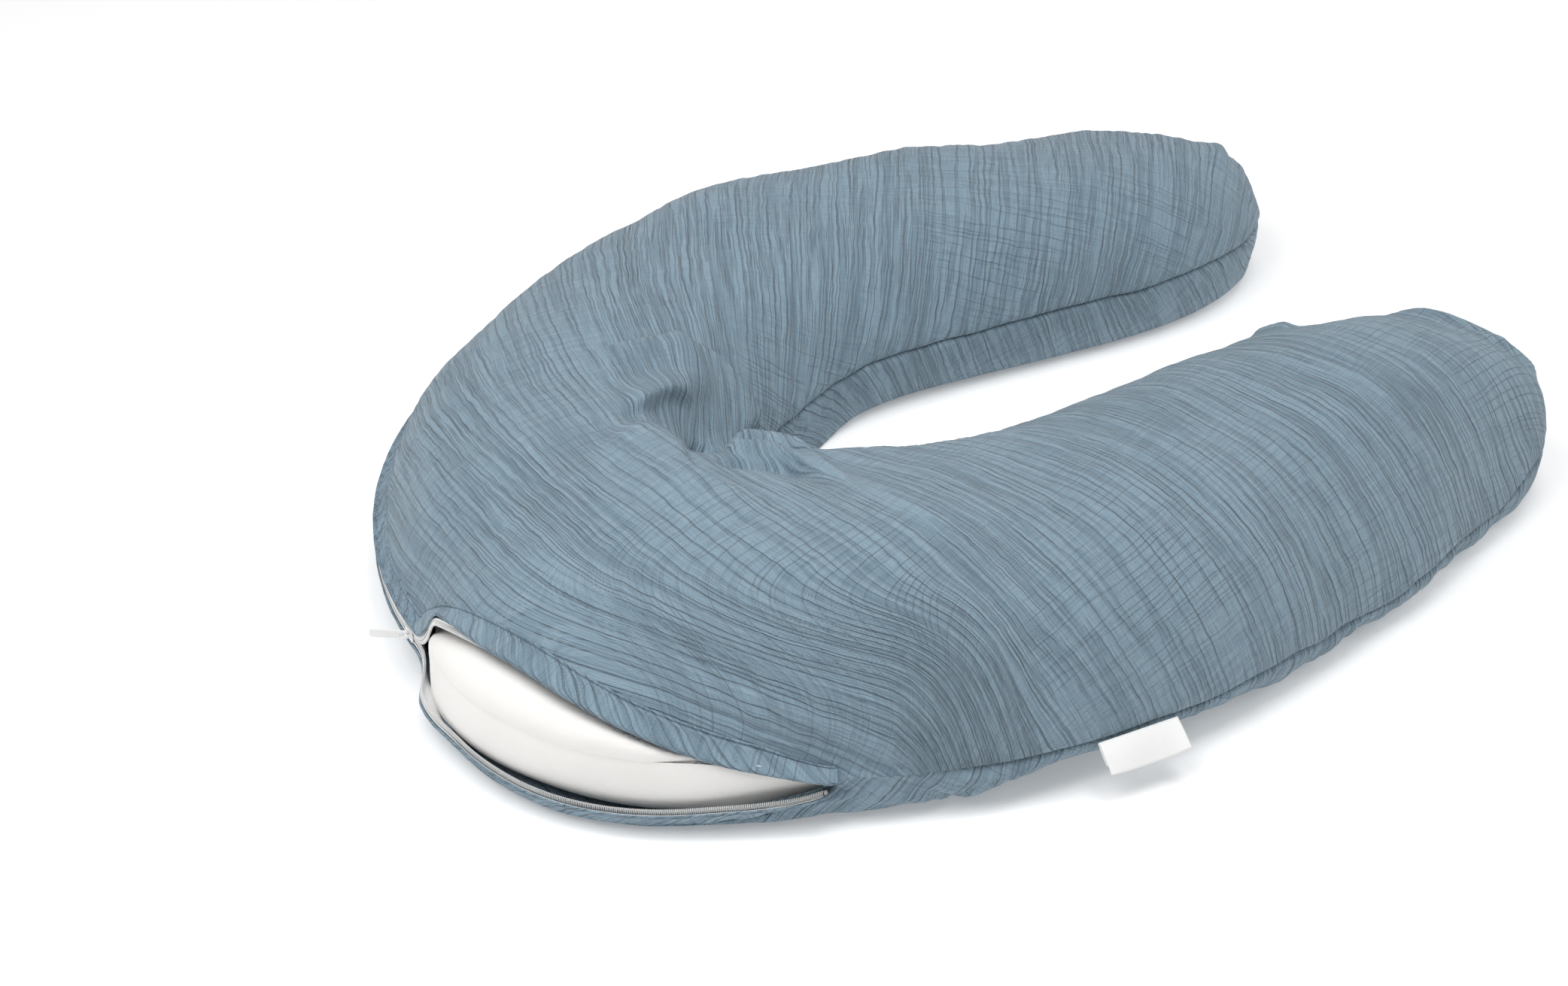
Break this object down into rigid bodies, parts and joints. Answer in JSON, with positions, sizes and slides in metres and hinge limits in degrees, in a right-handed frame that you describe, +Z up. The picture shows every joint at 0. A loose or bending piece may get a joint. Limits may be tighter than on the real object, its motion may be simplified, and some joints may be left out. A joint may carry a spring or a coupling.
{
  "type": "nursing pillow",
  "caption": "C-shaped nursing pillow: a zipped crinkled-gauze cover over a cotton casing filled with beads, with the zip open and the casing showing at the bend.",
  "frame": {"origin": "middle of the bottom of the whole box, on the surface that the pillow lies on", "axes": "+X from the bend towards the open ends of both arms, +Y towards the arm without the open zip, +Z up"},
  "size_m": [0.8974, 0.7261, 0.1601],
  "materials": {
    "cover_cloth": "crinkled cotton double gauze, blue-grey, matt",
    "casing_cotton": "plain smooth white cotton, matt",
    "beads": "expanded polystyrene micro beads",
    "zip_tape": "white woven polyester tape",
    "zip_nylon": "white nylon coil, satin",
    "zip_metal": "white enamelled die-cast zinc, semi-gloss",
    "label_tape": "white woven satin label, soft sheen"
  },
  "bodies": {
    "pillow": {"bead_filling": "beads", "bottom_stop": "zip_metal", "care_label": "label_tape", "casing_bottom_panel": "casing_cotton", "casing_top_panel": "casing_cotton", "cover_bottom_panel": "cover_cloth", "cover_top_panel": "cover_cloth", "top_stop_lower": "zip_metal", "top_stop_upper": "zip_metal", "zip_coil_lower": "zip_nylon", "zip_coil_upper": "zip_nylon", "zip_facing_lower": "cover_cloth", "zip_facing_upper": "cover_cloth", "zip_tape_lower": "zip_tape", "zip_tape_upper": "zip_tape"},
    "zip_slider": {"slider_body": "zip_metal"},
    "pull_tab": {"pull_tab": "zip_metal"},
    "side_label": {"side_label": "label_tape"}
  },
  "joints": [
    {"name": "zip_slider_run", "type": "hinge", "parent": "pillow", "child": "zip_slider", "pos_m": [-0.0902, -0.01369, 0.041], "axis": [0, 0, -1], "range_deg": [0, 45]},
    {"name": "pull_tab_flip", "type": "hinge", "parent": "zip_slider", "child": "pull_tab", "pos_m": [-0.42551, -0.01946, 0.041], "axis": [0, 0, 1], "range_deg": [-50, 115]},
    {"name": "side_label_flap", "type": "hinge", "parent": "pillow", "child": "side_label", "pos_m": [-0.0303, -0.343, 0.041], "axis": [-0.9996, 0.0269, 0], "range_deg": [-45, 85]}
  ]
}
